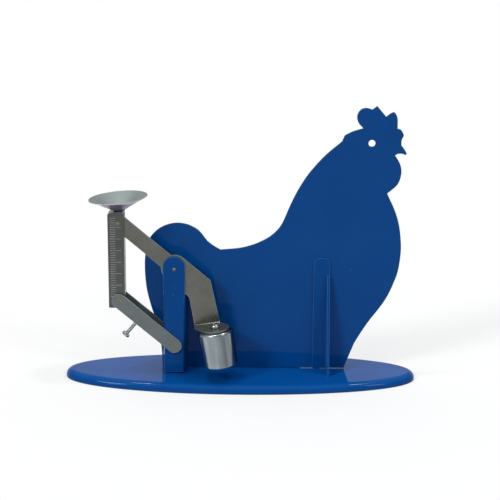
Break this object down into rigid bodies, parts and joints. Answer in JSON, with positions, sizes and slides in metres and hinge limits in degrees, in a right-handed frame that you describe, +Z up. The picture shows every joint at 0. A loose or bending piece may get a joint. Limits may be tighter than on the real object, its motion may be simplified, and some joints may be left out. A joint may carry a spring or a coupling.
{
  "type": "egg scale",
  "caption": "Sheet-metal hen on an oval base with a counterweighted parallel linkage that carries a small round pan for weighing eggs.",
  "frame": {"origin": "centre of the base's flat underside", "axes": "+X along the base toward the hen's beak, +Y from the linkage side toward the hen's plain back, +Z up"},
  "size_m": [0.3002, 0.0884, 0.236],
  "materials": {
    "blue_enamel": "gloss enamel",
    "plated_steel": "dull zinc plate",
    "bright_zinc": "bright plate",
    "pan_tin": "satin plate",
    "brass": "worn brass"
  },
  "bodies": {
    "stand": {"base_plate": "blue_enamel", "hen_plate": "blue_enamel", "hen_screw_1": "bright_zinc", "hen_screw_2": "bright_zinc", "hen_screw_3": "bright_zinc", "pivot_post": "blue_enamel", "post_screw": "bright_zinc", "main_pivot_pin": "brass", "main_pivot_spacer": "bright_zinc", "hen_bracket": "blue_enamel", "bracket_screw": "bright_zinc"},
    "beam": {"beam_plate": "plated_steel", "counterweight": "bright_zinc", "counterweight_screw": "bright_zinc"},
    "pan_carrier": {"carrier": "plated_steel", "carrier_pin": "brass", "pan_washer": "plated_steel", "egg_pan": "pan_tin", "pan_rivet": "bright_zinc"},
    "link": {"lower_link": "plated_steel", "link_post_pin": "brass", "link_carrier_pin": "brass"},
    "adjuster": {"adjusting_screw": "bright_zinc"}
  },
  "joints": [
    {"name": "beam_tilt", "type": "hinge", "parent": "stand", "child": "beam", "pos_m": [-0.0558, 0, 0.0993], "axis": [0, -1, 0], "range_deg": [0, 43]},
    {"name": "carrier_hang", "type": "hinge", "parent": "beam", "child": "pan_carrier", "pos_m": [-0.10224, 0, 0.13854], "axis": [0, -1, 0], "range_deg": [-43, 0]},
    {"name": "link_swing", "type": "hinge", "parent": "stand", "child": "link", "pos_m": [-0.0558, 0, 0.0323], "axis": [0, -1, 0], "range_deg": [0, 43]},
    {"name": "adjuster_travel", "type": "slide", "parent": "link", "child": "adjuster", "axis": [-0.6455, 0, -0.7638], "range_m": [-0.008, 0]}
  ],
  "couplings": [
    {"joint": "carrier_hang", "follows": "beam_tilt", "ratio": -1},
    {"joint": "link_swing", "follows": "beam_tilt", "ratio": 1}
  ]
}
